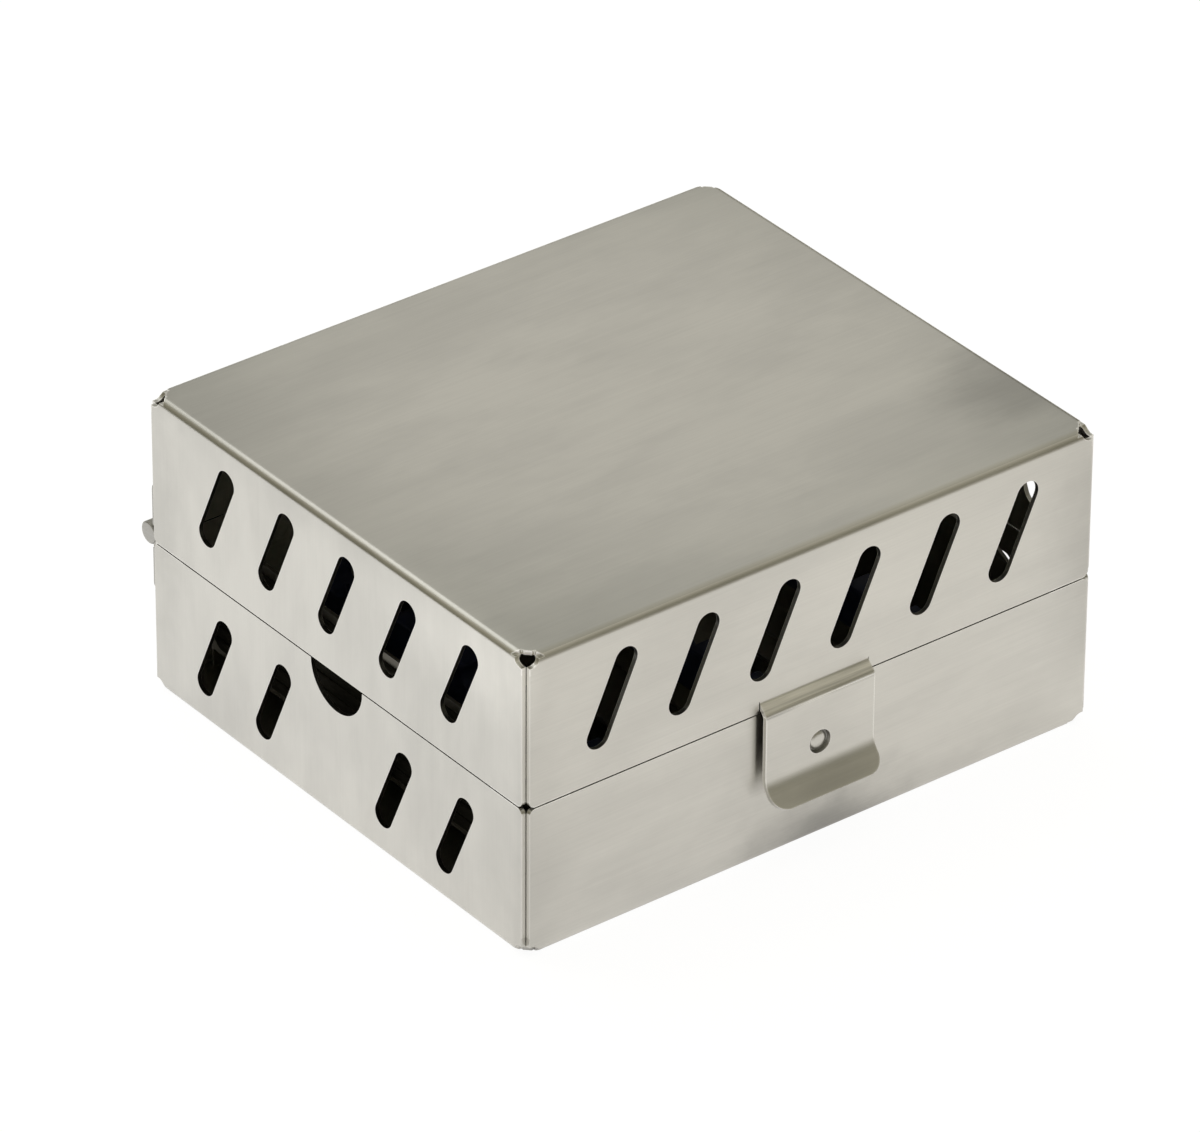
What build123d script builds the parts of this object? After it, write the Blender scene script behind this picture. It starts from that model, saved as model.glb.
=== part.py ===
from build123d import *

import os
from math import radians, sqrt, tan

# Dental instrument cassette: a folded sheet-steel case with a hinged lid, a sprung
# tongue latch and a lift-out rack of silicone instrument holders.
# Millimetres. X runs along the front, Y from front to back, Z up.
# The origin is the centre of the base's underside, and the lid is shut.

# ---- Case: two trays of equal depth, folded from one gauge of sheet ----
case_length = 142.0
case_width = 124.0
case_height = 69.0
sheet = 1.0
bend_inside = 1.0
rim_gap = 0.3            # seam between the two rims when the lid is shut
corner_slit = 0.1        # each wall ends this far past the thickness of the next one
relief_radius = 2.25     # round relief punched in each wall where two folds meet
relief_inset = 1.5       # its middle in from the other wall
relief_drop = 0.15       # its middle below the top or above the floor
relief_chamfer = 5.2     # corner cut off the top or the floor, along each of its sides
flap_corner_radius = 1.4 # free corner of a wall at the rim

# ---- Vent slots: all lean the same way when seen from outside ----
slot_length = 22.1
slot_width = 5.5
slot_lean = 66.0         # degrees from the horizontal
slot_pitch = 20.0
lid_front_slots = 6
lid_end_slots = 5
lid_front_rise = 17.8    # slot centres above the lid's rim, front wall
lid_end_rise = 18.3      # the same in the end walls
lid_end_shift = -1.0     # middle slot of an end wall from the wall's middle, + to the back
base_slot_drop = 17.3    # slot centres below the base's rim
base_end_shift = 0.6
notch_radius = 8.5       # finger notch in the rim of each end wall of the base
notch_shift = -0.8

# ---- Latch tongue: joggled out of the lid's front wall ----
tongue_width = 27.2
tongue_side_relief = 0.15 # gap beside the tongue where it leaves the wall
tongue_root_rise = 2.6   # root of the tongue above the lid's rim
tongue_stand_off = 1.2   # air between the tongue and the base's front wall
tongue_length = 18.9     # from the root to the start of the finger lip
joggle_root = 0.65       # straight sheet at the root, before the joggle
joggle_drop = 2.0        # height of the slanting sheet between the two bends of the joggle
joggle_radius = 1.4      # on the middle of the sheet
lip_reach = 4.1          # how far the lip flares out
lip_drop = 4.5
lip_bend_radius = 6.0
lip_corner_radius = 3.8
dimple_drop = 13.3       # dimple centre below the root
dimple_radius = 2.6      # mouth of the dimple on the outside
dimple_bite = 0.35       # how far the dimple reaches into the catch hole
dimple_taper = 14.0
dimple_wall = 0.7        # sheet left round the side of the pressed dimple
catch_clearance = 0.6    # round the dimple in its hole

# ---- Hinge: two rolled leaves on a wire pin, outside the back walls ----
pin_diameter = 3.0
pin_clearance = 0.05
leaf_sheet = 0.9
leaf_height = 13.0
knuckle_count = 5
knuckle_gap = 0.3
barrel_inset = 1.1       # end of the barrel inside the end of the case
curl_sweep = 300.0       # degrees of the rolled knuckle
leaf_corner_radius = 2.0
leaf_clearance = 0.3     # leaf edge to the other leaf's knuckles
pin_chamfer = 0.4

# ---- Rack: perforated deck on folded feet, end walls, three rails with silicone strips ----
rack_sheet = 0.8
rack_bend_radius = 1.2   # on the middle of the sheet
rack_side_clearance = 1.5
rack_end_room = 9.0      # finger room between the rack's end walls and the case's
rack_foot_height = 6.0   # underside of the deck above the floor
end_wall_reach = 2.5     # outside of a rack end wall past the deck's end
end_wall_width = 112.0
end_wall_rise = 2.7      # top of the end walls above the base's rim, to lift the rack by
end_wall_radius = 16.0
grip_thickness = 1.2     # silicone pad on the outside of each end wall
grip_margin = 2.0        # steel left showing round a pad
grip_foot_radius = 3.0
rail_pitch = 40.0
rail_length = 100.0
rail_flange = 8.0
rail_height = 13.6
strip_width = 6.5
strip_height = 9.5
seat_floor = 1.5         # silicone left between an instrument and the rail's edge
strip_edge_break = 1.0   # broken top edges of the silicone
seat_count = 6
seat_pitch = 15.0
seat_width = 6.4
seat_depth = 4.6
perforation_length = 42.0
perforation_width = 12.0
perforation_pitch = 54.0
perforation_rows = 2

# ---- Worked out from the sizes above ----
half_depth = (case_height - rim_gap) / 2
base_rim = half_depth
lid_rim = case_height - half_depth
front_plane = Plane.front.offset(case_width / 2)
end_planes = (Plane.left.offset(case_length / 2), Plane.right.offset(case_length / 2))
ways_back = (-1, 1)      # which way along each end plane's own axis leads to the back
corner_cut = sheet + corner_slit

tongue_root = lid_rim + tongue_root_rise
dimple_depth = tongue_stand_off + dimple_bite
dimple_height = tongue_root - dimple_drop
front_face = -case_width / 2
catch_radius = dimple_radius + catch_clearance

knuckle_inside = pin_diameter / 2 + pin_clearance
knuckle_outside = knuckle_inside + leaf_sheet
hinge_y = case_width / 2 + knuckle_outside
hinge_z = case_height / 2
barrel_length = case_length - 2 * barrel_inset
knuckle_pitch = barrel_length / knuckle_count
knuckle_length = knuckle_pitch - knuckle_gap
leaf_edge = knuckle_outside + leaf_clearance

floor = sheet
end_wall_x = case_length / 2 - sheet - rack_end_room
rack_length = 2 * (end_wall_x - end_wall_reach)
rack_width = case_width - 2 * (sheet + rack_side_clearance)
deck_underside = floor + rack_foot_height
deck_top = deck_underside + rack_sheet
rail_names = ["left", "middle", "right"]
rail_places = [-rail_pitch, 0, rail_pitch]
flange_sides = [1, 1, -1]
rail_top = deck_top + rail_height
strip_top = rail_top + seat_floor + seat_depth
strip_bottom = strip_top - strip_height

os.makedirs("parts", exist_ok=True)


def row(count, pitch):
    """Places of a centred row."""
    return [(i - (count - 1) / 2) * pitch for i in range(count)]


def edges_across(sheet_edges, thickness):
    """The edges that cross a sheet from one face to the other."""
    return sheet_edges.filter_by(lambda edge: abs(edge.length - thickness) < 0.01 * thickness)


# ---- Folded tray: the form that the base and, upside down, the lid share ----
with BuildPart() as folded_tray:
    with BuildSketch():
        Rectangle(case_length, case_width)
    extrude(amount=half_depth)
    fillet(faces().sort_by(Axis.Z)[0].edges(), radius=bend_inside + sheet)
    with BuildSketch(Plane.XY.offset(sheet)):
        Rectangle(case_length - 2 * sheet, case_width - 2 * sheet)
    extrude(amount=half_depth, mode=Mode.SUBTRACT)
    fillet(faces().filter_by(Axis.Z).sort_by(Axis.Z)[1].edges(), radius=bend_inside)
    with BuildSketch():
        with GridLocations(case_length, case_width, 2, 2):
            Rectangle(2 * corner_cut, 2 * corner_cut)
    extrude(amount=half_depth, mode=Mode.SUBTRACT)
    with BuildSketch():
        with GridLocations(case_length, case_width, 2, 2):
            Rectangle(sqrt(2) * relief_chamfer, sqrt(2) * relief_chamfer, rotation=45)
    extrude(amount=sheet, mode=Mode.SUBTRACT)
    relief_depth = 2 * (sheet + bend_inside)
    with Locations((0, 0, relief_drop)):
        with GridLocations(case_length - 2 * relief_inset, case_width, 2, 2):
            Cylinder(relief_radius, relief_depth, rotation=(90, 0, 0), mode=Mode.SUBTRACT)
        with GridLocations(case_length, case_width - 2 * relief_inset, 2, 2):
            Cylinder(relief_radius, relief_depth, rotation=(0, 90, 0), mode=Mode.SUBTRACT)
    rim_edges = edges().group_by(Axis.Z)[-1]
    fillet(edges_across(rim_edges, sheet), radius=flap_corner_radius)

# ---- Base shell: vents and a finger notch in each end wall, a hole that catches the latch ----
base_vents = [place for place in row(lid_end_slots, slot_pitch) if place != 0]
with BuildPart() as base_shell:
    add(folded_tray.part)
    for wall, back in zip(end_planes, ways_back):
        with BuildSketch(wall):
            with Locations((back * base_end_shift, base_rim - base_slot_drop)):
                with Locations(*[(place, 0) for place in base_vents]):
                    SlotOverall(slot_length, slot_width, rotation=slot_lean)
            with Locations((back * notch_shift, base_rim)):
                Circle(notch_radius)
        extrude(amount=-2 * sheet, mode=Mode.SUBTRACT)
    with BuildSketch(front_plane):
        with Locations((0, dimple_height)):
            Circle(catch_radius)
    extrude(amount=-2 * sheet, mode=Mode.SUBTRACT)
base_shell.part.label = "base_shell"
export_step(base_shell.part, "parts/base_shell.step")

# ---- Lid shell: vents in the front and end walls, a gap in the rim where the tongue leaves ----
with BuildPart() as lid_shell:
    with Locations(Location((0, 0, case_height), (180, 0, 0))):
        add(folded_tray.part)
    for wall, back in zip(end_planes, ways_back):
        with BuildSketch(wall):
            with Locations((back * lid_end_shift, lid_rim + lid_end_rise)):
                with GridLocations(slot_pitch, slot_pitch, lid_end_slots, 1):
                    SlotOverall(slot_length, slot_width, rotation=slot_lean)
        extrude(amount=-2 * sheet, mode=Mode.SUBTRACT)
    with BuildSketch(front_plane):
        with Locations((0, lid_rim + lid_front_rise)):
            with GridLocations(slot_pitch, slot_pitch, lid_front_slots, 1):
                SlotOverall(slot_length, slot_width, rotation=slot_lean)
        with Locations((0, lid_rim)):
            Rectangle(tongue_width + 2 * tongue_side_relief, 2 * tongue_root_rise)
    extrude(amount=-2 * sheet, mode=Mode.SUBTRACT)
lid_shell.part.label = "lid_shell"
export_step(lid_shell.part, "parts/lid_shell.step")

# ---- Latch tongue: a strip of the lid's sheet, joggled clear of the base and flared at its end ----
wall_middle = front_face + sheet / 2
tongue_middle = front_face - tongue_stand_off - sheet / 2
joggle_top = tongue_root - joggle_root
lip_start = tongue_root - tongue_length
with BuildPart() as latch_tongue:
    with BuildSketch(Plane.YZ):
        with BuildLine():
            FilletPolyline(
                (wall_middle, tongue_root),
                (wall_middle, joggle_top),
                (tongue_middle, joggle_top - joggle_drop),
                (tongue_middle, lip_start),
                (tongue_middle - lip_reach, lip_start - lip_drop),
                radius=[joggle_radius, joggle_radius, lip_bend_radius],
            )
        trace(line_width=sheet)
    extrude(amount=tongue_width / 2, both=True)
    lip_corners = edges_across(edges(), sheet).group_by(Axis.Z)[0]
    fillet(lip_corners, radius=lip_corner_radius)
    with BuildSketch(Plane.back.offset(tongue_middle + sheet / 2)):
        with Locations((0, dimple_height)):
            Circle(dimple_radius + dimple_wall - sheet * tan(radians(dimple_taper)) / 2)
    extrude(amount=dimple_depth, taper=dimple_taper)
    with BuildSketch(Plane.back.offset(tongue_middle - sheet / 2)):
        with Locations((0, dimple_height)):
            Circle(dimple_radius)
    extrude(amount=dimple_depth, taper=dimple_taper, mode=Mode.SUBTRACT)
latch_tongue.part.label = "latch_tongue"
export_step(latch_tongue.part, "parts/latch_tongue.step")

# ---- Hinge: each knuckle is its leaf's own sheet rolled round the pin ----
knuckle_places = row(knuckle_count, knuckle_pitch)
leaf_middle = case_width / 2 + leaf_sheet / 2
leaf_plane = Plane.back.offset(case_width / 2)
plate_height = leaf_height - leaf_edge
curl_radius = knuckle_inside + leaf_sheet / 2

# Base leaf: its sheet runs up the wall, over the pin and back to just short of itself.
with BuildPart() as base_hinge_leaf:
    with BuildSketch(leaf_plane):
        with Locations((0, hinge_z - leaf_edge - plate_height / 2)):
            Rectangle(barrel_length, plate_height)
        fillet(vertices().group_by(Axis.Y)[0], radius=leaf_corner_radius)
    extrude(amount=leaf_sheet)
    for place in knuckle_places[0::2]:
        with BuildSketch(Plane.YZ.offset(place)):
            with BuildLine():
                Line((leaf_middle, hinge_z - 2 * leaf_edge), (leaf_middle, hinge_z))
                CenterArc((hinge_y, hinge_z), curl_radius, 180, -curl_sweep)
            trace(line_width=leaf_sheet)
        extrude(amount=knuckle_length / 2, both=True)
base_hinge_leaf.part.label = "base_hinge_leaf"
export_step(base_hinge_leaf.part, "parts/base_hinge_leaf.step")

# Lid leaf: the same, hanging down from above, with the knuckles in between.
with BuildPart() as lid_hinge_leaf:
    with BuildSketch(leaf_plane):
        with Locations((0, hinge_z + leaf_edge + plate_height / 2)):
            Rectangle(barrel_length, plate_height)
        fillet(vertices().group_by(Axis.Y)[-1], radius=leaf_corner_radius)
    extrude(amount=leaf_sheet)
    for place in knuckle_places[1::2]:
        with BuildSketch(Plane.YZ.offset(place)):
            with BuildLine():
                Line((leaf_middle, hinge_z + 2 * leaf_edge), (leaf_middle, hinge_z))
                CenterArc((hinge_y, hinge_z), curl_radius, 180, curl_sweep)
            trace(line_width=leaf_sheet)
        extrude(amount=knuckle_length / 2, both=True)
lid_hinge_leaf.part.label = "lid_hinge_leaf"
export_step(lid_hinge_leaf.part, "parts/lid_hinge_leaf.step")

# Pin: cut wire with broken edges, as long as the barrel.
with BuildPart() as hinge_pin:
    with BuildSketch(Plane.YZ):
        with Locations((hinge_y, hinge_z)):
            Circle(pin_diameter / 2)
    extrude(amount=barrel_length / 2, both=True)
    chamfer(edges().filter_by(GeomType.CIRCLE), length=pin_chamfer)
hinge_pin.part.label = "hinge_pin"
export_step(hinge_pin.part, "parts/hinge_pin.step")

# ---- Rack tray: a perforated deck, folded down at front and back into feet, up at its ends ----
deck_middle = deck_underside + rack_sheet / 2
foot_middle = rack_width / 2 - rack_sheet / 2
end_wall_middle = end_wall_x - rack_sheet / 2
bay_places = [-rail_pitch / 2, rail_pitch / 2]
with BuildPart() as rack_tray:
    with BuildSketch(Plane.YZ):
        with BuildLine():
            FilletPolyline(
                (-foot_middle, floor),
                (-foot_middle, deck_middle),
                (foot_middle, deck_middle),
                (foot_middle, floor),
                radius=rack_bend_radius,
            )
        trace(line_width=rack_sheet)
    extrude(amount=rack_length / 2, both=True)
    for side in (-1, 1):
        with BuildSketch(Plane.XZ):
            with BuildLine():
                FilletPolyline(
                    (side * (rack_length / 2 - end_wall_reach), deck_middle),
                    (side * end_wall_middle, deck_middle),
                    (side * end_wall_middle, base_rim + end_wall_rise),
                    radius=rack_bend_radius,
                )
            trace(line_width=rack_sheet)
        extrude(amount=end_wall_width / 2, both=True)
    fillet(edges_across(edges(), rack_sheet).group_by(Axis.Z)[-1], radius=end_wall_radius)
    with BuildSketch(Plane.XY.offset(deck_underside)):
        with Locations(*[(place, 0) for place in bay_places]):
            with GridLocations(perforation_width, perforation_pitch, 1, perforation_rows):
                SlotOverall(perforation_length, perforation_width, rotation=90)
    extrude(amount=rack_sheet, mode=Mode.SUBTRACT)
rack_tray.part.label = "rack_tray"
export_step(rack_tray.part, "parts/rack_tray.step")

# ---- Grips: silicone pads bonded on the outsides of the rack's end walls, to lift it out hot ----
grip_top = base_rim + end_wall_rise - grip_margin
grip_bottom = deck_top + grip_margin
for name, wall in zip(("left", "right"), (Plane.left, Plane.right)):
    with BuildPart() as grip:
        with BuildSketch(wall.offset(end_wall_x)):
            with Locations((0, (grip_top + grip_bottom) / 2)):
                Rectangle(end_wall_width - 2 * grip_margin, grip_top - grip_bottom)
            fillet(vertices().group_by(Axis.Y)[-1], radius=end_wall_radius - grip_margin)
            fillet(vertices().group_by(Axis.Y)[0], radius=grip_foot_radius)
        extrude(amount=grip_thickness)
    grip.part.label = "grip_" + name
    export_step(grip.part, "parts/grip_" + name + ".step")

# ---- Rails and their silicone strips ----
for name, place, side in zip(rail_names, rail_places, flange_sides):
    # Angle rail: its flange is spot-welded on the deck, its web stands up into the strip.
    with BuildPart() as rail:
        with BuildSketch(Plane.XZ):
            with BuildLine():
                FilletPolyline(
                    (place, rail_top),
                    (place, deck_top + rack_sheet / 2),
                    (place + side * rail_flange, deck_top + rack_sheet / 2),
                    radius=rack_bend_radius,
                )
            trace(line_width=rack_sheet)
        extrude(amount=rail_length / 2, both=True)
    rail.part.label = "rail_" + name
    export_step(rail.part, "parts/rail_" + name + ".step")

    # Silicone strip: pushed down over the rail's web, with a seat for each instrument.
    with BuildPart() as strip:
        with BuildSketch(Plane.XZ):
            with Locations((place, strip_top - strip_height / 2)):
                Rectangle(strip_width, strip_height)
            chamfer(vertices().group_by(Axis.Y)[-1], length=strip_edge_break)
            with Locations((place, (strip_bottom + rail_top) / 2)):
                Rectangle(rack_sheet, rail_top - strip_bottom, mode=Mode.SUBTRACT)
        extrude(amount=rail_length / 2, both=True)
        with BuildSketch(Plane.YZ.offset(place)):
            with Locations(*[(y, strip_top) for y in row(seat_count, seat_pitch)]):
                Rectangle(seat_width, 2 * seat_depth)
        extrude(amount=strip_width, both=True, mode=Mode.SUBTRACT)
    strip.part.label = "strip_" + name
    export_step(strip.part, "parts/strip_" + name + ".step")
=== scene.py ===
from math import pi, radians

import bmesh
import bpy
from mathutils import Matrix, Vector


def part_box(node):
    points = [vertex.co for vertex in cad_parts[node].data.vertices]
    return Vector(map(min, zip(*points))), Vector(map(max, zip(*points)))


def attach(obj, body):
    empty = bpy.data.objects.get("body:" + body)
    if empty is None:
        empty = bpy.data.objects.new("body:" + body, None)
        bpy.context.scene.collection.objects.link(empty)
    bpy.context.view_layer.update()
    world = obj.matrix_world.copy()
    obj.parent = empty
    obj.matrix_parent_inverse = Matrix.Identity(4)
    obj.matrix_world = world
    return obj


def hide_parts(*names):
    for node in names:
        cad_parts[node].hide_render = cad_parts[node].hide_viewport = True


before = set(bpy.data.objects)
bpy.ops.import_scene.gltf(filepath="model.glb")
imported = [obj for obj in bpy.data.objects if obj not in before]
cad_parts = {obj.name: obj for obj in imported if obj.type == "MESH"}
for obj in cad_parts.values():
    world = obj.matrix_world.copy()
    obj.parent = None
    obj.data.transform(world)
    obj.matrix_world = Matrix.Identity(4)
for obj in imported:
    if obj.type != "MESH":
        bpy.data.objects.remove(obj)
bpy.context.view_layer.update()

# ---- Table, tent and lamp ----
# The case stands on a wide white table inside a round tent of grey cloth, which is browner low
# down and palest behind the case. One wide soft lamp hangs high behind the case's left side.
scene = bpy.context.scene
scene.view_settings.view_transform = "Standard"

camera_data = bpy.data.cameras.new("camera")
camera_data.sensor_width = 36
camera_data.lens = 288.49
camera = bpy.data.objects.new("camera", camera_data)
camera.location = (-1.00127, -1.28610, 1.05532)
camera.rotation_euler = (radians(57.886), radians(-0.2919), radians(-37.576))
scene.collection.objects.link(camera)
scene.camera = camera


def add(tree, kind, sockets, **settings):
    """Puts a shader node in a tree, with its settings, and its sockets set or linked."""
    made = tree.nodes.new("ShaderNode" + kind)
    for name, value in settings.items():
        setattr(made, name, value)
    for name, value in sockets.items():
        if isinstance(value, bpy.types.NodeSocket):
            tree.links.new(value, made.inputs[name])
        else:
            made.inputs[name].default_value = value
    return made


def calculate(tree, operation, *values):
    """The result of a sum or a comparison of numbers and sockets."""
    return add(tree, "Math", dict(enumerate(values)), operation=operation).outputs[0]


def combine(tree, operation, first, second):
    """The result of a sum of two vectors."""
    made = add(tree, "VectorMath", {0: first, 1: second}, operation=operation)
    return made.outputs["Value" if operation == "DOT_PRODUCT" else "Vector"]


def ranged(tree, value, source=(0, 1), target=(0, 1), kind="LINEAR"):
    """A number moved from its source range into its target range, and held there."""
    sockets = {"Value": value, "From Min": source[0], "From Max": source[1], "To Min": target[0],
               "To Max": target[1]}
    return add(tree, "MapRange", sockets, interpolation_type=kind).outputs[0]


def blend(tree, kind, part, first, second, **settings):
    """A mix of two numbers, vectors or colours, by how large a part the second one has."""
    number = ["FLOAT", "VECTOR", "RGBA"].index(kind)
    sockets = {0: part, 2 + 2 * number: first, 3 + 2 * number: second}
    return add(tree, "Mix", sockets, data_type=kind, **settings).outputs[number]


def new_material(name):
    """A material with nodes, and its tree, shader and output."""
    made = bpy.data.materials.new(name)
    made.use_nodes = True
    tree = made.node_tree
    return made, tree, tree.nodes["Principled BSDF"], tree.nodes["Material Output"]


def new_piece(name, shape):
    """An object whose mesh is the finished bmesh."""
    mesh = bpy.data.meshes.new(name)
    shape.to_mesh(mesh)
    shape.free()
    piece = bpy.data.objects.new(name, mesh)
    scene.collection.objects.link(piece)
    return piece


white = (1, 1, 1, 1)
world = bpy.data.worlds.new("tent")
scene.world = world
world.use_nodes = True
world.node_tree.nodes["Background"].inputs["Color"].default_value = white
world.node_tree.nodes["Background"].inputs["Strength"].default_value = 1.0

table_half = 6.0
table_shade = 0.8                   # how much of the light on it the table gives back
table_seen_shade = 0.15             # the same where it is looked at, which keeps the case's shadow
table_seen_glow = 0.935
table_steel_shade = 0.8             # the same where the steel mirrors it
table_steel_glow = 0.58
table_edge_way = (0.52, -0.85, 0)   # the side where the lit cloth on the table ends
table_edge_fade = (0.18, 0.42)      # metres out, where it starts to dim and where it has
table_edge_tone = (0.27, 0.245, 0.18)
table_cool_way = (-0.8, 0.6, 0)     # the side where daylight makes the table a little bluer
table_cool_fade = (-0.05, 0.12)
table_front_tone = (1.0, 0.987, 1.0)
table_cool_tone = (1.0, 1.01, 1.055)
shape = bmesh.new()
bmesh.ops.create_grid(shape, x_segments=1, y_segments=1, size=table_half)
table_top = new_piece("table_top", shape)
table_white, tree, shader, output = new_material("table_white")
tree.nodes.remove(shader)


def pale(tree, shade, glow, tone=white):
    """Cloth that gives back part of its light, and glows with the rest in its tone."""
    cloth = add(tree, "BsdfDiffuse", {"Color": (shade, shade, shade, 1)})
    gleam = add(tree, "Emission", {"Color": tone, "Strength": glow})
    return add(tree, "AddShader", {0: cloth.outputs[0], 1: gleam.outputs[0]}).outputs[0]


place = add(tree, "TexCoord", {}).outputs["Object"]
cool_side = combine(tree, "DOT_PRODUCT", place, table_cool_way)
coolness = ranged(tree, cool_side, table_cool_fade, kind="SMOOTHSTEP")
cool = blend(tree, "RGBA", coolness, (*table_front_tone, 1), (*table_cool_tone, 1))
out_there = combine(tree, "DOT_PRODUCT", place, table_edge_way)
edge_part = ranged(tree, out_there, table_edge_fade, kind="SMOOTHSTEP")
in_steel = pale(tree, table_steel_shade, table_steel_glow, cool)
dim = add(tree, "Emission", {"Color": (*table_edge_tone, 1), "Strength": 1.0})
fading = add(tree, "MixShader", {0: edge_part, 1: in_steel, 2: dim.outputs[0]})
ray = add(tree, "LightPath", {}).outputs
mirrored = add(tree, "MixShader", {0: ray["Is Glossy Ray"], 1: pale(tree, table_shade, 0),
                                   2: fading.outputs[0]})
looked_at = calculate(tree, "MAXIMUM", ray["Is Camera Ray"], ray["Is Transmission Ray"])
surface = add(tree, "MixShader", {0: looked_at, 1: mirrored.outputs[0],
                                  2: pale(tree, table_seen_shade, table_seen_glow)})
tree.links.new(surface.outputs[0], output.inputs["Surface"])
table_top.data.materials.append(table_white)

tent_radius = 3.0
tent_tones = [            # sine of the height angle on the cloth, and its colour there
    (0.0, (0.18, 0.17, 0.12)),
    (0.3, (0.24, 0.225, 0.165)),
    (0.6, (0.40, 0.378, 0.295)),
    (0.85, (0.66, 0.63, 0.54)),
    (1.0, (0.67, 0.65, 0.60)),
]
pale_patch_way = Vector((0.40, 0.68, 0.61)).normalized()
pale_patch_tone = (0.72, 0.703, 0.653)
pale_patch_reach = (0.80, 0.985)  # cosines at its rim and where it is full
shape = bmesh.new()
bmesh.ops.create_uvsphere(shape, u_segments=64, v_segments=32, radius=tent_radius)
bmesh.ops.bisect_plane(shape, geom=shape.verts[:] + shape.edges[:] + shape.faces[:], plane_co=(0, 0, 0),
                       plane_no=(0, 0, 1), clear_inner=True)
bmesh.ops.reverse_faces(shape, faces=shape.faces)
tent = new_piece("tent", shape)
tent.visible_camera = False
tent_cloth, tree, shader, output = new_material("tent_cloth")
tree.nodes.remove(shader)
place = add(tree, "TexCoord", {}).outputs["Object"]
way = add(tree, "VectorMath", {0: place}, operation="NORMALIZE").outputs[0]
height = add(tree, "SeparateXYZ", {0: way}).outputs["Z"]
tones = add(tree, "ValToRGB", {"Fac": height})
ramp = tones.color_ramp
for sine, colour in tent_tones[1:-1]:
    ramp.elements.new(sine)
for element, (sine, colour) in zip(ramp.elements, tent_tones):
    element.color = (*colour, 1)
squareness = combine(tree, "DOT_PRODUCT", way, pale_patch_way)
patch = ranged(tree, squareness, pale_patch_reach, kind="SMOOTHSTEP")
lit = blend(tree, "RGBA", patch, tones.outputs["Color"], (*pale_patch_tone, 1))
gleam = add(tree, "Emission", {"Color": lit, "Strength": 1.0})
tree.links.new(gleam.outputs[0], output.inputs["Surface"])
tent.data.materials.append(tent_cloth)

lamp_way = Vector((-0.12, 0.49, 0.865)).normalized()
lamp_distance = 2.3
lamp_data = bpy.data.lights.new("soft_lamp", "AREA")
lamp_data.size = 1.3
lamp_data.energy = 6.8
lamp = bpy.data.objects.new("soft_lamp", lamp_data)
lamp.location = lamp_distance * lamp_way
lamp.rotation_euler = (-lamp_way).to_track_quat("-Z", "Y").to_euler()
scene.collection.objects.link(lamp)

# ---- Case halves ----
# Base and lid are each folded from one blank of 1 mm stainless steel, brushed along its length
# before it is cut and folded, so the grain runs along the front and top and up the end walls.
mm = 0.001
middle_height = 34.5      # the seam between the halves
wall_x = 71.0             # outsides of the end walls and of the front and back walls
wall_y = 62.0
sheet = 1.0
slack = 0.05              # how far past a face its mask reaches
end_facing = 0.7          # the least part of a normal along X on an end wall


def new_group(name, inputs, outputs):
    """A shader node group with number inputs, each with its start value, and number outputs."""
    made = bpy.data.node_groups.new(name, "ShaderNodeTree")
    for label, value in inputs.items():
        socket = made.interface.new_socket(label, in_out="INPUT", socket_type="NodeSocketFloat")
        socket.default_value = value
    for label in outputs:
        made.interface.new_socket(label, in_out="OUTPUT", socket_type="NodeSocketFloat")
    given = made.nodes.new("NodeGroupInput").outputs
    return made, given, made.nodes.new("NodeGroupOutput").inputs


def split(tree, found):
    """A vector's X, Y and Z."""
    return add(tree, "SeparateXYZ", {0: found}).outputs


def on_end_wall(tree, normal):
    """One where the surface faces sideways, as the end walls do, and nought elsewhere."""
    return calculate(tree, "GREATER_THAN", calculate(tree, "ABSOLUTE", split(tree, normal)["X"]), end_facing)


def along_grain(tree, drawn_out):
    """The place squeezed along the sheet's grain, and whether it is on an end wall."""
    found = add(tree, "TexCoord", {}).outputs
    on_end = on_end_wall(tree, found["Normal"])
    along_x = add(tree, "CombineXYZ", {0: drawn_out, 1: 1.0, 2: 1.0}).outputs[0]
    along_z = add(tree, "CombineXYZ", {0: 1.0, 1: 1.0, 2: drawn_out}).outputs[0]
    squeeze = blend(tree, "VECTOR", on_end, along_x, along_z)
    return combine(tree, "MULTIPLY", found["Object"], squeeze), on_end


# Brushed grain: fine and coarse lines drawn out along the sheet's grain, calmer on the end walls.
coarse_size = 0.12        # the coarse lines' number beside the fine ones'
coarse_part = 0.25
end_calm = 0.5
brushed_grain, given, result = new_group("brushed_grain", {"Lines": 2600.0, "Drawn Out": 0.012},
                                         ["Grain"])
tree = brushed_grain
squeezed, on_end = along_grain(tree, given["Drawn Out"])
fine = add(tree, "TexNoise", {"Vector": squeezed, "Scale": given["Lines"], "Detail": 2.0,
                              "Roughness": 0.6})
coarse_lines = calculate(tree, "MULTIPLY", given["Lines"], coarse_size)
coarse = add(tree, "TexNoise", {"Vector": squeezed, "Scale": coarse_lines, "Detail": 2.0,
                                "Roughness": 0.5})
grain = blend(tree, "FLOAT", coarse_part, fine.outputs[0], coarse.outputs[0])
calm = calculate(tree, "MULTIPLY", on_end, end_calm)
tree.links.new(blend(tree, "FLOAT", calm, grain, 0.5), result["Grain"])

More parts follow.
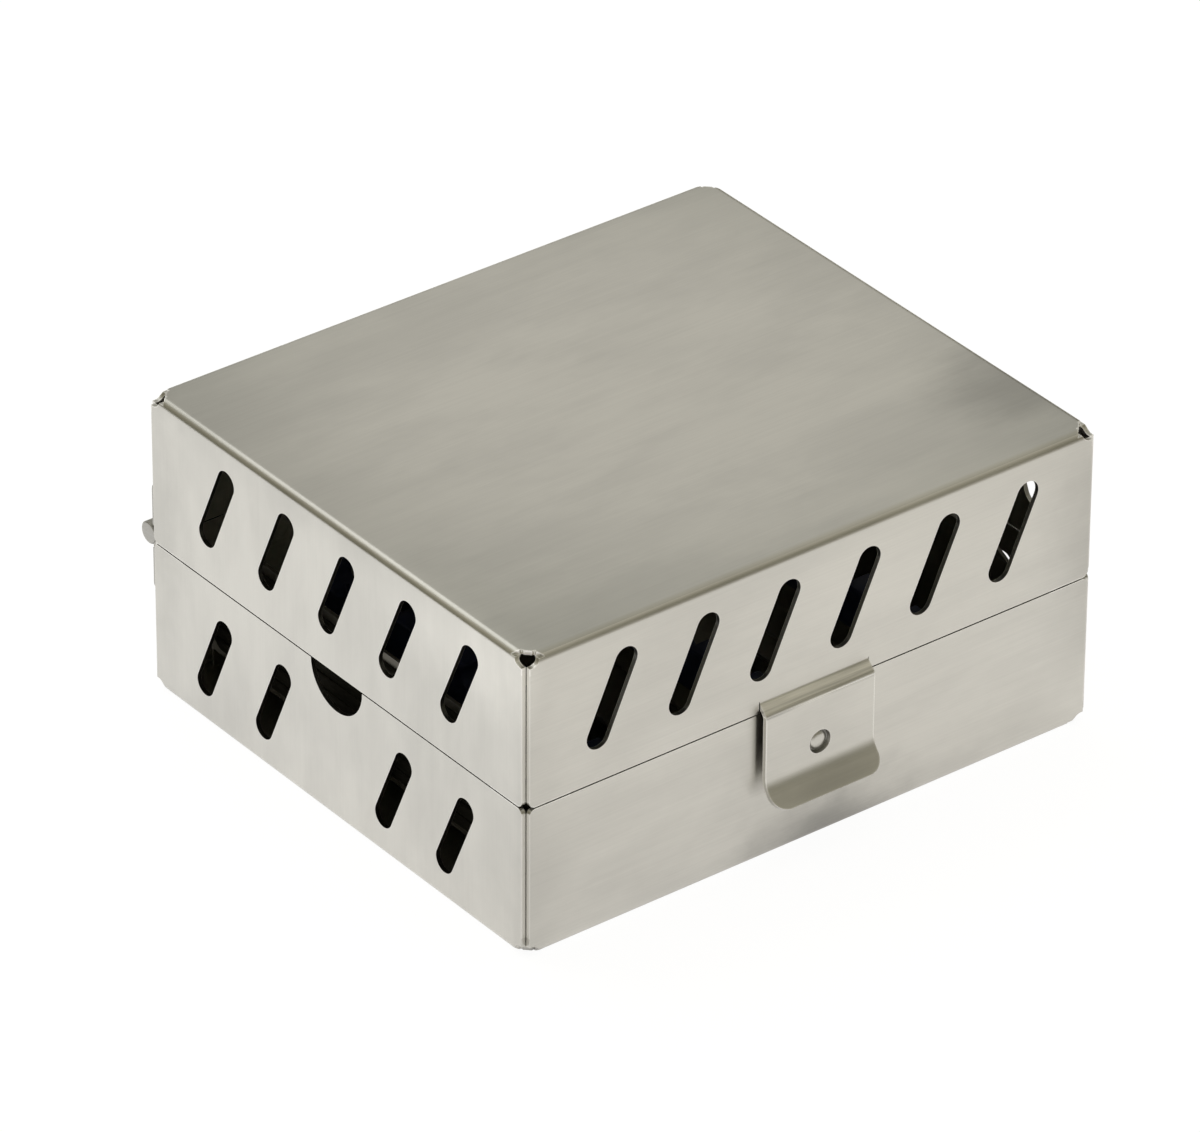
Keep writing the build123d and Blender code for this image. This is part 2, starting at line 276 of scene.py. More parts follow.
# Handling clouds: soft smudges that wiping and drying leave, drawn out along the grain.
cloud_levels = (0.33, 0.68)  # of the noise, where a smudge starts and where it is full
handling_clouds, given, result = new_group("handling_clouds", {"Patches": 50.0, "Drawn Out": 0.4},
                                           ["Cloud"])
tree = handling_clouds
squeezed = along_grain(tree, given["Drawn Out"])[0]
patches = add(tree, "TexNoise", {"Vector": squeezed, "Scale": given["Patches"], "Detail": 4.0,
                                 "Roughness": 0.6, "Distortion": 0.15})
cloud = ranged(tree, patches.outputs[0], cloud_levels, kind="SMOOTHSTEP")
tree.links.new(cloud, result["Cloud"])

# Painted top shade: the top is painted brightest near its middle and darker towards its corners, painted
# shade for the fall-off of its reflection.
brightest_top_middle = (8 * mm, 7 * mm, 0)
top_shade_reach = (0.1, 2.3)  # squared distances out, in half sizes, where the painted shade starts and is full
top_facing = 0.8
painted_top_shade, given, result = new_group("painted_top_shade", {"Half Length": wall_x * mm,
                                                         "Half Width": wall_y * mm}, ["Dull"])
tree = painted_top_shade
found = add(tree, "TexCoord", {}).outputs
from_wiped = combine(tree, "SUBTRACT", found["Object"], brightest_top_middle)
where = split(tree, from_wiped)
along = calculate(tree, "DIVIDE", where["X"], given["Half Length"])
over = calculate(tree, "DIVIDE", where["Y"], given["Half Width"])
along_squared = calculate(tree, "MULTIPLY", along, along)
spread = calculate(tree, "MULTIPLY_ADD", over, over, along_squared)
outward = ranged(tree, spread, top_shade_reach, kind="SMOOTHSTEP")
upward = calculate(tree, "GREATER_THAN", split(tree, found["Normal"])["Z"], top_facing)
tree.links.new(calculate(tree, "MULTIPLY", outward, upward), result["Dull"])

# Worn edges and lit gaps: the sheet's cut edges are rubbed bright, most at the corners and on the latch,
# and least down the upright seams. The rims' own faces where the halves meet and the cut end faces at the
# upright corners are painted bright too, painted light that lifts the shade in those narrow gaps. Where the
# latch's tongue leaves the lid's wall there is no edge, so nothing is rubbed or rounded there.
plain_wear = 0.3          # wear beside that at the corners, which is 1
seam_wear = 0.25
# painted light on the cut end faces at the upright corners
cut_end_lift = 0.4
corner_reach = (60, 51)   # along X and Y, past which an edge is near a corner
seam_reach = (69.0, 60.0)
cut_end_reach = (69.8, 60.8)
seam_half_height = 30.5
rim_half_gap = 0.16       # how near the middle height the rims' own faces lie
relief_top = 4.5          # nothing is rubbed below it, in the base's corner reliefs
worn_edges_and_lit_gaps, given, result = new_group("worn_edges_and_lit_gaps", {"Width": 0.6 * mm, "Root Half Width": 13.72 * mm,
                                                     "Root Height": 37.25 * mm, "Root Margin": 0.7 * mm},
                                      ["Edge", "Free"])
tree = worn_edges_and_lit_gaps
where = split(tree, add(tree, "TexCoord", {}).outputs["Object"])
sideways = calculate(tree, "ABSOLUTE", where["X"])
depth = calculate(tree, "ABSOLUTE", where["Y"])


def past(tree, reach):
    """One past both distances from the middle, which is near the case's four upright edges."""
    past_x = calculate(tree, "GREATER_THAN", sideways, reach[0] * mm)
    past_y = calculate(tree, "GREATER_THAN", depth, reach[1] * mm)
    return calculate(tree, "MULTIPLY", past_x, past_y)


beside = calculate(tree, "GREATER_THAN", sideways, given["Root Half Width"])
rise = calculate(tree, "SUBTRACT", where["Z"], given["Root Height"])
clear = calculate(tree, "GREATER_THAN", calculate(tree, "ABSOLUTE", rise), given["Root Margin"])
behind = calculate(tree, "GREATER_THAN", where["Y"], 0.0)
free = calculate(tree, "MAXIMUM", calculate(tree, "MAXIMUM", beside, clear), behind)
rounded = add(tree, "Bevel", {"Radius": given["Width"]}, samples=6)
flat = add(tree, "NewGeometry", {})
likeness = combine(tree, "DOT_PRODUCT", rounded.outputs[0], flat.outputs["Normal"])
edge = ranged(tree, likeness, (0.99, 0.85))
on_latch = calculate(tree, "LESS_THAN", where["Y"], -(wall_y + 0.3) * mm)
handled = calculate(tree, "MAXIMUM", past(tree, corner_reach), on_latch)
wear = ranged(tree, handled, target=(plain_wear, 1.0))
level = calculate(tree, "ABSOLUTE", calculate(tree, "SUBTRACT", where["Z"], middle_height * mm))
straight = calculate(tree, "LESS_THAN", level, seam_half_height * mm)
seam = calculate(tree, "MULTIPLY", past(tree, seam_reach), straight)
worn_edge = calculate(tree, "MULTIPLY", edge, blend(tree, "FLOAT", seam, wear, seam_wear))
# The cut end faces at the upright corners and the rims' faces in the seam are painted bright: painted light
# in those gaps.
lit_cut_end = calculate(tree, "MULTIPLY", past(tree, cut_end_reach), cut_end_lift)
lit_rim = calculate(tree, "LESS_THAN", level, rim_half_gap * mm)
worn_or_lit = calculate(tree, "MAXIMUM", worn_edge, calculate(tree, "MAXIMUM", lit_rim, lit_cut_end))
off_floor = calculate(tree, "GREATER_THAN", where["Z"], relief_top * mm)
worn_and_lit = calculate(tree, "MULTIPLY", calculate(tree, "MULTIPLY", worn_or_lit, off_floor), free)
tree.links.new(worn_and_lit, result["Edge"])
tree.links.new(free, result["Free"])

# Inside light and slot shade: the insides of the folded sheets, which are painted lighter, painted light for
# the dim inside of the case, and made rougher; and the cut sides of the slots, which lie within the sheet's
# thickness and face along the wall, and are painted darker, painted shade in the slots.
slots_half_height = 30.0
slot_side_facing = 0.3    # the most of a normal that points out of the wall on a slot's side
inside_light_and_slot_shade, given, result = new_group("inside_light_and_slot_shade",
                                           {"Half Length": (wall_x - sheet + slack) * mm,
                                            "Half Width": (wall_y - sheet + slack) * mm,
                                            "Half Height": 33.9 * mm,
                                            "Middle Height": middle_height * mm}, ["Inside", "Cut"])
tree = inside_light_and_slot_shade
found = add(tree, "TexCoord", {}).outputs
where = split(tree, found["Object"])
facing = split(tree, found["Normal"])
risen = calculate(tree, "SUBTRACT", where["Z"], given["Middle Height"])
depths = []
for distance, half in ((where["X"], "Half Length"), (where["Y"], "Half Width"), (risen, "Half Height")):
    depths.append(calculate(tree, "LESS_THAN", calculate(tree, "ABSOLUTE", distance), given[half]))
inside = calculate(tree, "MULTIPLY", calculate(tree, "MULTIPLY", depths[0], depths[1]), depths[2])
tree.links.new(inside, result["Inside"])
cut_sides = []
for out_way, wall, along_way, slots_end in (("X", wall_x, "Y", 57), ("Y", wall_y, "X", 66)):
    out = calculate(tree, "ABSOLUTE", where[out_way])
    within = calculate(tree, "LESS_THAN", out, (wall + slack) * mm)
    beyond = calculate(tree, "GREATER_THAN", out, (wall - sheet + slack) * mm)
    in_sheet = calculate(tree, "MULTIPLY", within, beyond)
    edgeways = calculate(tree, "LESS_THAN", calculate(tree, "ABSOLUTE", facing[out_way]), slot_side_facing)
    on_cut = calculate(tree, "MULTIPLY", in_sheet, edgeways)
    midway = calculate(tree, "LESS_THAN", calculate(tree, "ABSOLUTE", where[along_way]), slots_end * mm)
    cut_sides.append(calculate(tree, "MULTIPLY", on_cut, midway))
not_bend = calculate(tree, "LESS_THAN", calculate(tree, "ABSOLUTE", risen), slots_half_height * mm)
cut = calculate(tree, "MULTIPLY", calculate(tree, "MAXIMUM", *cut_sides), not_bend)
tree.links.new(cut, result["Cut"])

# Dimple ring shade: a dark ring painted round the latch's dimple, painted shade for its groove.
dimple_height = 23.95
dimple_ring_shade, given, result = new_group("dimple_ring_shade",
                                        {"Height": dimple_height * mm, "Radius": 2.35 * mm,
                                         "Spread": 0.5 * mm, "Front": -(wall_y + 0.4) * mm}, ["Grime"])
tree = dimple_ring_shade
where = split(tree, add(tree, "TexCoord", {}).outputs["Object"])
rise = calculate(tree, "SUBTRACT", where["Z"], given["Height"])
flat_place = add(tree, "CombineXYZ", {0: where["X"], 1: rise}).outputs[0]
reach = add(tree, "VectorMath", {0: flat_place}, operation="LENGTH").outputs["Value"]
off_ring = calculate(tree, "ABSOLUTE", calculate(tree, "SUBTRACT", reach, given["Radius"]))
ring = ranged(tree, off_ring, (given["Spread"], 0.0), kind="SMOOTHSTEP")
in_front = calculate(tree, "LESS_THAN", where["Y"], given["Front"])
tree.links.new(calculate(tree, "MULTIPLY", ring, in_front), result["Grime"])

# Painted light and shade: soft blotches on the case, some darker and some lighter, painted where the case's
# reflections fall darker or lighter, with the latch's shadow below its lip and the shade in the near corner
# relief at the foot.
marks = [                 # middle and reach in mm, and how much darker the middle is
    ((76, -62, 42), (20, 8, 36), 0.19),
    ((3, -62, 0), (27, 1.6, 14), 0.45),
    ((0, -67, 15.5), (22, 3.5, 5.5), 0.26),
    ((-70.5, -61.5, 0), (4.6, 4.6, 1.9), 0.95),
    ((-76, 5, 69), (42, 70, 8), 0.07),
    ((-73, -62, 25), (14, 4, 50), 0.08),
    ((-71, 68, 40), (6, 20, 45), 0.13),
    ((73, -40, 69), (27, 21, 8), 0.27),
    ((-71, -40, 62), (6, 38, 14), -0.14),
    ((-71, 0, 3), (6, 62, 16), -0.06),
    ((-36, -62, 36), (14, 6, 9), -0.06),
    ((8, -62, 54), (36, 6, 18), -0.05),
    ((45, -62, 20), (24, 6, 16), -0.03),
]
mark_fade = (1.15, 0.1)   # parts of its reach where a mark starts and where it is full
mark_draw = (0.5, 1, 1)   # marks are ragged in a pattern drawn out along X
painted_light_and_shade_blotches, given, result = new_group("painted_light_and_shade_blotches", {"Ragged": 0.9}, ["Light"])
tree = painted_light_and_shade_blotches
place = add(tree, "TexCoord", {}).outputs["Object"]
drawn = combine(tree, "MULTIPLY", place, mark_draw)
ragged = add(tree, "TexNoise", {"Vector": drawn, "Scale": 110.0, "Detail": 4.0, "Roughness": 0.6})
wobble = calculate(tree, "MULTIPLY", calculate(tree, "SUBTRACT", ragged.outputs[0], 0.5), given["Ragged"])
light = 1.0
for middle, reach, darker in marks:
    off = combine(tree, "SUBTRACT", place, Vector(middle) * mm)
    scaled = combine(tree, "DIVIDE", off, Vector(reach) * mm)
    size = add(tree, "VectorMath", {0: scaled}, operation="LENGTH").outputs["Value"]
    mark = ranged(tree, calculate(tree, "ADD", size, wobble), mark_fade, kind="SMOOTHSTEP")
    light = calculate(tree, "MULTIPLY_ADD", mark, -darker, light)
tree.links.new(light, result["Light"])

# Bend streaks and joggle light: fine lines drawn along the joggle of the latch, where the tool stretched the
# sheet, with a painted highlight at the joggle's top and painted shade at its foot.
tongue_half_width = 13.6
streak_draw = (0.03, 0.5, 1)
streak_tones = (-0.18, 0.3)  # how much darker and brighter the streaks are than the sheet
joggle_light_tone = 0.2          # how much brighter the joggle is painted at its top, a painted highlight, and darker at its foot, painted shade
bend_streaks_and_shading, given, result = new_group("bend_streaks_and_shading", {"Low": 33.8 * mm, "High": 37.0 * mm,
                                                         "Front": -(wall_y - 0.1) * mm,
                                                         "Half Width": tongue_half_width * mm}, ["Light"])
tree = bend_streaks_and_shading
place = add(tree, "TexCoord", {}).outputs["Object"]
where = split(tree, place)
drawn = combine(tree, "MULTIPLY", place, streak_draw)
lines = add(tree, "TexNoise", {"Vector": drawn, "Scale": 2200.0, "Detail": 2.0})
streak = ranged(tree, lines.outputs[0], (0.3, 0.7), streak_tones)
rise = ranged(tree, where["Z"], (given["Low"], given["High"]), (-1.0, 1.0))
streak_and_slope_light = calculate(tree, "MULTIPLY_ADD", rise, joggle_light_tone, streak)
level = ranged(tree, calculate(tree, "ABSOLUTE", rise), (1.0, 0.75))
across = calculate(tree, "LESS_THAN", calculate(tree, "ABSOLUTE", where["X"]), given["Half Width"])
in_front = calculate(tree, "LESS_THAN", where["Y"], given["Front"])
on_joggle = calculate(tree, "MULTIPLY", across, in_front)
shown = calculate(tree, "MULTIPLY", on_joggle, level)
tree.links.new(calculate(tree, "MULTIPLY_ADD", shown, streak_and_slope_light, 1.0), result["Light"])

darkest = 0.84            # parts of its colour that the grain and the clouds give a steel
lightest = 1.14
cloud_part = 0.45
top_corner_shade = (0.73, 0.74095, 0.73)  # painted shade at the top's corners, where it is darkest
ring_shade_tone = 0.3               # painted shade at the dimple's ring
# painted shade on the slots' cut sides
slot_side_shade_tone = 0.45
inside_haze = 0.22        # how much rougher the insides are
waves = 0.2 * mm


def new_steel(name, colour, roughness, anisotropy, grain_depth, round_edge=0.12 * mm, worn_and_lit=0.95,
              inside_lift=(1.28, 1.265, 1.23)):
    """Brushed steel: grain and clouds vary its tone, its edges are rubbed bright, and painted light and
    shade lighten and darken it in places.
    """
    bright = (worn_and_lit, worn_and_lit * 0.99, worn_and_lit * 0.96, 1)
    made, tree, shader, output = new_material(name)

    def put(group):
        return add(tree, "Group", {}, node_tree=group).outputs

    grain = put(brushed_grain)["Grain"]
    edge = put(worn_edges_and_lit_gaps)
    inside_and_slots = put(inside_light_and_slot_shade)
    # Painted shade darkens the top's corners, the slots' cut sides, the dimple's ring and some blotches;
    # painted light lightens the insides, the rims in the seam, the corner end faces, some blotches and the
    # joggle's top.
    tone = blend(tree, "FLOAT", cloud_part, grain, put(handling_clouds)["Cloud"])
    sheet_tone = blend(tree, "RGBA", tone, (*[c * darkest for c in colour], 1),
                       (*[c * lightest for c in colour], 1))
    top_shade_tone = blend(tree, "RGBA", put(painted_top_shade)["Dull"], white, (*top_corner_shade, 1))
    top_shaded_tone = blend(tree, "RGBA", 1.0, sheet_tone, top_shade_tone, blend_type="MULTIPLY")
    edge_and_lift_tone = blend(tree, "RGBA", edge["Edge"], top_shaded_tone, bright)
    inside_lift_tone = blend(tree, "RGBA", inside_and_slots["Inside"], white, (*inside_lift, 1))
    edge_and_inside_tone = blend(tree, "RGBA", 1.0, edge_and_lift_tone, inside_lift_tone, blend_type="MULTIPLY")
    slot_side_shade = ranged(tree, inside_and_slots["Cut"], target=(1.0, slot_side_shade_tone))
    blotched = calculate(tree, "MULTIPLY", put(painted_light_and_shade_blotches)["Light"], slot_side_shade)
    streaked_and_shaded = calculate(tree, "MULTIPLY", blotched, put(bend_streaks_and_shading)["Light"])
    ring_shaded = ranged(tree, put(dimple_ring_shade)["Grime"], target=(1.0, ring_shade_tone))
    kept_part = calculate(tree, "MULTIPLY", streaked_and_shaded, ring_shaded)
    all_tone = blend(tree, "RGBA", 1.0, edge_and_inside_tone, kept_part, blend_type="MULTIPLY")
    tree.links.new(all_tone, shader.inputs["Base Color"])
    satin = ranged(tree, tone, target=(roughness - 0.04, roughness + 0.05))
    rougher = calculate(tree, "MULTIPLY_ADD", inside_and_slots["Inside"], inside_haze, satin)
    tree.links.new(rougher, shader.inputs["Roughness"])

    # Cut edges are a little rounded, the sheet is a little wavy, and the brush has scored it.
    found = add(tree, "TexCoord", {}).outputs
    flat = add(tree, "NewGeometry", {}).outputs["Normal"]
    rounded = add(tree, "Bevel", {"Radius": round_edge}, samples=4).outputs[0]
    kept = blend(tree, "VECTOR", edge["Free"], flat, rounded)
    swell = add(tree, "TexNoise", {"Vector": found["Object"], "Scale": 20.0, "Detail": 1.0}).outputs[0]
    wavy = add(tree, "Bump", {"Strength": 1.0, "Distance": waves, "Height": swell, "Normal": kept})
    scored = add(tree, "Bump", {"Strength": 1.0, "Distance": grain_depth, "Height": grain,
                                "Normal": wavy.outputs[0]})
    tree.links.new(scored.outputs[0], shader.inputs["Normal"])

    # The highlight is drawn out across the grain: round the case's long axis, and level on end walls.
    across = combine(tree, "CROSS_PRODUCT", (1, 0, 0), found["Normal"])
    on_end = on_end_wall(tree, found["Normal"])
    drawn = blend(tree, "VECTOR", on_end, across, (0, 1, 0))
    turned = add(tree, "VectorTransform", {0: drawn}, vector_type="VECTOR", convert_from="OBJECT",
                 convert_to="WORLD")
    tree.links.new(turned.outputs[0], shader.inputs["Tangent"])
    shader.inputs["Metallic"].default_value = 1
    shader.inputs["Anisotropic"].default_value = anisotropy
    return made


def finish(node, material):
    """Gives a CAD node its material."""
    for slot in bpy.data.objects[node].material_slots:
        slot.material = material


case_steel = new_steel("case_steel", (0.635, 0.625, 0.59), 0.32, 0.7, 0.005 * mm)
finish("base_shell", case_steel)
finish("lid_shell", case_steel)

# ---- Latch tongue ----
# The tongue is a strip of the lid's own sheet, so it has the same finish. Its dimple is pressed
# from the front by a round punch with a hollow nose, which leaves a groove round a low dome.
finish("latch_tongue", case_steel)
dimple_middle = (0, -64.2, dimple_height)
dimple_profile = [        # radius, and height over the tongue's face, mm
    (2.6, -0.01), (2.52, -0.3), (2.45, -0.7), (2.3, -0.95), (2.1, -0.95), (1.9, -0.72), (1.6, -0.5),
    (1.2, -0.36), (0.7, -0.28), (0.3, -0.25),
]


def new_round(name, profile, steps, middle, outwards, body, material):
    """A round piece: its profile of radii and heights in mm, spun about its middle."""
    shape = bmesh.new()
    chain = [shape.verts.new((radius * mm, 0, height * mm)) for radius, height in profile]
    chain.append(shape.verts.new((0, 0, profile[-1][1] * mm)))
    edges = [shape.edges.new(pair) for pair in zip(chain, chain[1:])]
    bmesh.ops.spin(shape, geom=chain + edges, cent=(0, 0, 0), axis=(0, 0, 1), angle=2 * pi, steps=steps,
                   use_merge=True)
    bmesh.ops.remove_doubles(shape, verts=shape.verts, dist=0.001 * mm)
    bmesh.ops.recalc_face_normals(shape, faces=shape.faces)
    nearest = min(shape.faces, key=lambda face: face.calc_center_median().xy.length)
    if nearest.normal.z < 0:
        bmesh.ops.reverse_faces(shape, faces=shape.faces)
    turn = Vector((0, 0, 1)).rotation_difference(Vector(outwards)).to_matrix().to_4x4()
    bmesh.ops.transform(shape, matrix=Matrix.Translation(Vector(middle) * mm) @ turn, verts=shape.verts)
    for face in shape.faces:
        face.smooth = True
    piece = new_piece(name, shape)
    piece.data.materials.append(material)
    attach(piece, body)


new_round("dimple", dimple_profile, 40, dimple_middle, (0, -1, 0), "latch", case_steel)

# ---- Hinge ----
# Two leaves of 0.9 mm strip, their knuckles rolled round a cut length of 3 mm wire, whose ends
# are peened over into low heads that hide the running gap.
hinge_tone = (0.46, 0.45, 0.42)
hinge_edge = 0.03 * mm
hinge_steel = new_steel("hinge_steel", hinge_tone, 0.38, 0.4, 0.004 * mm, round_edge=hinge_edge, worn_and_lit=0.5)
finish("base_hinge_leaf", hinge_steel)
finish("lid_hinge_leaf", hinge_steel)
pin_steel = new_steel("pin_steel", hinge_tone, 0.38, 0.4, 0.004 * mm, round_edge=hinge_edge, worn_and_lit=0.48)
finish("hinge_pin", pin_steel)
barrel_end = 69.76
hinge_middle = (64.45, middle_height)
head_profile = [(2.32, 0.0), (2.3, 0.12), (2.1, 0.2), (1.5, 0.26), (0.6, 0.28)]
for side, way in (("left", -1), ("right", 1)):
    new_round("pin_head_" + side, head_profile, 36, (way * barrel_end, *hinge_middle), (way, 0, 0), "base",
              pin_steel)

# ---- Spot welds of the hinge ----
# A row of spot welds holds each leaf of the hinge to its back wall. Each weld leaves a round,
# shallow print on the leaf, and another on the inside of the wall.
weld_profile = [(2.1, 0.0), (1.9, 0.05), (1.55, 0.08), (1.2, 0.04), (0.7, 0.015)]  # radius and height, mm
leaf_face = 62.9
inner_wall = 61.0
welds_along = [-60, -40, -20, 0, 20, 40, 60]
for body, weld_height in (("lid", 43.2), ("base", 25.8)):
    for number, along in enumerate(welds_along, 1):
        new_round("weld_%s_leaf_%d" % (body, number), weld_profile, 20, (along, leaf_face, weld_height),
                  (0, 1, 0), body, hinge_steel)
        new_round("weld_%s_inside_%d" % (body, number), weld_profile, 20, (along, inner_wall, weld_height),
                  (0, -1, 0), body, case_steel)

# ---- Rack ----
# A deck of 0.8 mm steel sheet folded into feet and end walls. Three angle rails lie across it,
# each held by four spot welds, whose prints show on the rail's flange.
# The rack's steel is coloured darker than the case's, and its edges rubbed less bright: painted shade for
# the dim inside of the closed case.
rack_steel = new_steel("rack_steel", (0.38, 0.365, 0.32), 0.42, 0.3, 0.003 * mm, worn_and_lit=0.42,
                       inside_lift=(1, 1, 1))
finish("rack_tray", rack_steel)
for side in ("left", "middle", "right"):
    finish("rail_" + side, rack_steel)
flange_top = 8.6
flange_middles = {"left": -35.4, "middle": 4.6, "right": 35.4}
rail_welds_along = [-36, -12, 12, 36]
for side, across_place in flange_middles.items():
    for number, along in enumerate(rail_welds_along, 1):
        new_round("weld_rail_%s_%d" % (side, number), weld_profile, 20, (across_place, along, flange_top),
                  (0, 0, 1), "rack", rack_steel)

# ---- Grips ----
# Pads of black silicone bonded on the outsides of the rack's end walls and moulded with level
# ribs, so that the rack can be lifted out hot between the fingertips. Their black is also painted
# shade: the pads fill the view through the base's slots and finger notch with dark.
grip_backing = 0.6        # silicone behind the ribs
grip_edge = 1.2           # plain border round the ribs
grip_top_radius = 14.0
grip_foot_radius = 3.0
rib_width = 1.7
rib_gap = 1.5
rib_round = 0.3
rib_area = 20.0           # mm2, more than a face of the round corners has
squarely = 0.9            # the least part of a normal that points straight out
field_reach = 5.0         # how near the pad's middle line the ribbed field has its middle
near = 0.01               # mm, within which two heights are the same


def new_silicone(name, tints, mottle_scale, satin, skin_scale, skin_depth, gloss=0.5):
    """Moulded silicone, a little mottled in tone and sheen, with a fine dull skin."""
    made, tree, shader, output = new_material(name)
    place = add(tree, "TexCoord", {}).outputs["Object"]
    mottle = add(tree, "TexNoise", {"Vector": place, "Scale": mottle_scale, "Detail": 3.0}).outputs[0]
    tint = blend(tree, "RGBA", mottle, *[(*tint, 1) for tint in tints])
    tree.links.new(tint, shader.inputs["Base Color"])
    tree.links.new(ranged(tree, mottle, target=satin), shader.inputs["Roughness"])
    skin = add(tree, "TexNoise", {"Vector": place, "Scale": skin_scale, "Detail": 1.0}).outputs[0]
    dull = add(tree, "Bump", {"Strength": 0.5, "Distance": skin_depth, "Height": skin})
    tree.links.new(dull.outputs[0], shader.inputs["Normal"])
    shader.inputs["Specular IOR Level"].default_value = gloss
    return made


def facing_out(shape, way):
    """The larger faces of a pad's shape that face out of the case."""
    return [f for f in shape.faces if f.normal.x * way > squarely and f.calc_area() > rib_area * mm * mm]


# near-black: painted shade seen through the base's slots and finger notch
grip_silicone = new_silicone("grip_silicone", [(0.042, 0.040, 0.032), (0.062, 0.059, 0.048)], 220.0,
                             (0.82, 0.95), 3500.0, 0.02 * mm, gloss=0.2)

for side, way in (("left", -1), ("right", 1)):
    low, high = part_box("grip_" + side)
    inner, outer = (high[0], low[0]) if way < 0 else (low[0], high[0])
    shape = bmesh.new()
    feet = [shape.verts.new((inner, y, low[2])) for y in (low[1], high[1])]
    heads = [shape.verts.new((inner, y, high[2])) for y in (high[1], low[1])]
    shape.faces.new(feet + heads)
    bmesh.ops.bevel(shape, geom=feet, offset=grip_foot_radius * mm, affect="VERTICES", segments=6,
                    profile=0.5, material=-1)
    heads = [v for v in shape.verts if v.co.z > high[2] - near * mm]
    bmesh.ops.bevel(shape, geom=heads, offset=grip_top_radius * mm, affect="VERTICES", segments=12,
                    profile=0.5, material=-1)
    risen = bmesh.ops.extrude_face_region(shape, geom=shape.faces[:])["geom"]
    front = [g for g in risen if isinstance(g, bmesh.types.BMFace)][0]
    bmesh.ops.translate(shape, verts=front.verts, vec=(way * grip_backing * mm, 0, 0))
    bmesh.ops.recalc_face_normals(shape, faces=shape.faces)
    bmesh.ops.inset_region(shape, faces=[front], thickness=grip_edge * mm)
    cuts = [low[2] + grip_edge * mm]
    while cuts[-1] < high[2] - grip_edge * mm:
        cuts.append(cuts[-1] + (rib_width if len(cuts) % 2 else rib_gap) * mm)
    for cut in cuts[1:-1]:
        field = [f for f in facing_out(shape, way) if abs(f.calc_center_median().y) < field_reach * mm]
        parts = set(field)
        for face in field:
            parts.update(face.edges)
            parts.update(face.verts)
        bmesh.ops.bisect_plane(shape, geom=list(parts), plane_co=(0, 0, cut), plane_no=(0, 0, 1))
    ribs = []
    for bottom, top in zip(cuts[0::2], cuts[1::2]):
        ribs += [f for f in facing_out(shape, way) if bottom < f.calc_center_median().z < top]
    risen = bmesh.ops.extrude_face_region(shape, geom=ribs)["geom"]
    crests = [g for g in risen if isinstance(g, bmesh.types.BMFace)]
    crest_verts = {v for face in crests for v in face.verts}
    bmesh.ops.translate(shape, verts=list(crest_verts), vec=(outer - inner - way * grip_backing * mm, 0, 0))
    crest_edges = [e for e in shape.edges if e.verts[0] in crest_verts and e.verts[1] in crest_verts]
    bmesh.ops.bevel(shape, geom=crest_edges, offset=rib_round * mm, affect="EDGES", segments=2, profile=0.5,
                    material=-1)
    for face in shape.faces:
        face.smooth = True
    grip = new_piece("ribbed_grip_" + side, shape)
    grip.data.set_sharp_from_angle(angle=radians(50))
    grip.data.materials.append(grip_silicone)
    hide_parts("grip_" + side)
    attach(grip, "rack")

# ---- Silicone strips ----
# Soft moulded strips of navy silicone, each with a groove below that is pushed down over a
# rail's web, and with a round seat above for each of six instruments.
strip_width = 6.5
strip_top = 27.5
strip_bottom = 18.0
rail_top = 21.4
rail_half = 0.4
strip_half_length = 50.0
seat_count = 6
seat_pitch = 15.0
seat_radius = 3.2
seat_depth = 4.6
seat_middle_height = strip_top - seat_depth + seat_radius
seat_steps = 12
edge_round = 0.55
edge_angle = radians(35)  # edges that turn more than this are rounded
rail_places = {"left": -40.0, "middle": 0.0, "right": 40.0}
silicone = new_silicone("silicone", [(0.016, 0.024, 0.062), (0.030, 0.042, 0.105)], 160.0,
                        (0.42, 0.6), 4000.0, 0.01 * mm)

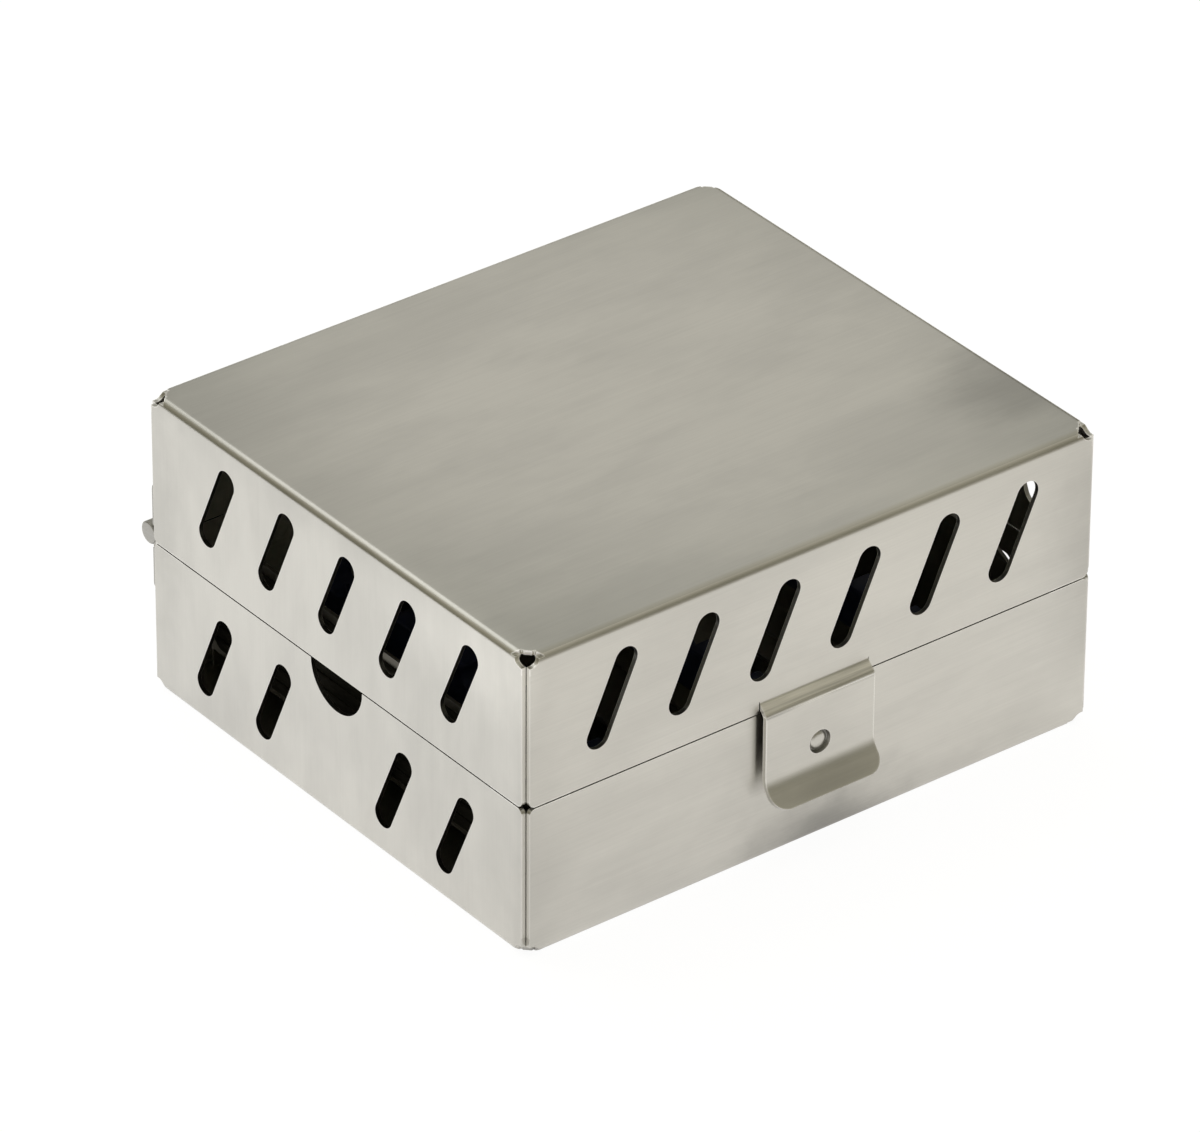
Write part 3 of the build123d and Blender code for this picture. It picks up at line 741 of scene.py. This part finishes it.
for side, across_place in rail_places.items():
    shape = bmesh.new()
    left = (across_place - strip_width / 2) * mm

    def corner(along, height):
        """A corner of the strip's cheek, at a place in mm."""
        return shape.verts.new((left, along * mm, height * mm))

    outline = [corner(-strip_half_length, strip_bottom), corner(-strip_half_length, strip_top)]
    for number in range(seat_count):
        middle = (number - (seat_count - 1) / 2) * seat_pitch
        outline.append(corner(middle - seat_radius, strip_top))
        seat = [corner(middle - seat_radius, seat_middle_height)]
        for step in range(seat_steps):
            spun = bmesh.ops.spin(shape, geom=[seat[-1]], cent=(left, middle * mm, seat_middle_height * mm),
                                  axis=(1, 0, 0), angle=pi / seat_steps, steps=1)["geom_last"]
            seat.append([g for g in spun if isinstance(g, bmesh.types.BMVert)][0])
        outline += seat
        outline.append(corner(middle + seat_radius, strip_top))
    outline += [corner(strip_half_length, strip_top), corner(strip_half_length, strip_bottom)]
    for edge in shape.edges[:]:
        shape.edges.remove(edge)
    cheek = shape.faces.new(outline)
    for width in (strip_width / 2 - rail_half, 2 * rail_half, strip_width / 2 - rail_half):
        moved = bmesh.ops.extrude_face_region(shape, geom=[cheek])["geom"]
        cheek = [g for g in moved if isinstance(g, bmesh.types.BMFace)][0]
        bmesh.ops.translate(shape, verts=cheek.verts, vec=(width * mm, 0, 0))
    inside = [f for f in shape.faces if abs(f.normal.x) > squarely
              and abs(f.calc_center_median().x / mm - across_place) < 1]
    bmesh.ops.delete(shape, geom=inside, context="FACES_ONLY")
    bmesh.ops.bisect_plane(shape, geom=shape.verts[:] + shape.edges[:] + shape.faces[:],
                           plane_co=(0, 0, rail_top * mm), plane_no=(0, 0, 1))
    groove = [f for f in shape.faces if abs(f.calc_center_median().x / mm - across_place) < 0.1
              and f.calc_center_median().z / mm < rail_top - near]
    bmesh.ops.delete(shape, geom=groove, context="FACES")
    mouths = [e for e in shape.edges if e.is_boundary
              and abs((e.verts[0].co.y - e.verts[1].co.y) / mm) < 0.1]
    bmesh.ops.bridge_loops(shape, edges=mouths)
    bmesh.ops.recalc_face_normals(shape, faces=shape.faces)
    rims = [e for e in shape.edges if e.is_manifold and e.calc_face_angle() > edge_angle
            and min(v.co.z for v in e.verts) / mm > rail_top + near]
    bmesh.ops.bevel(shape, geom=rims, offset=edge_round * mm, affect="EDGES", segments=3, profile=0.5,
                    material=-1)
    for face in shape.faces:
        face.smooth = True
    strip = new_piece("silicone_strip_" + side, shape)
    strip.data.set_sharp_from_angle(angle=radians(40))
    strip.data.materials.append(silicone)
    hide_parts("strip_" + side)
    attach(strip, "rack")
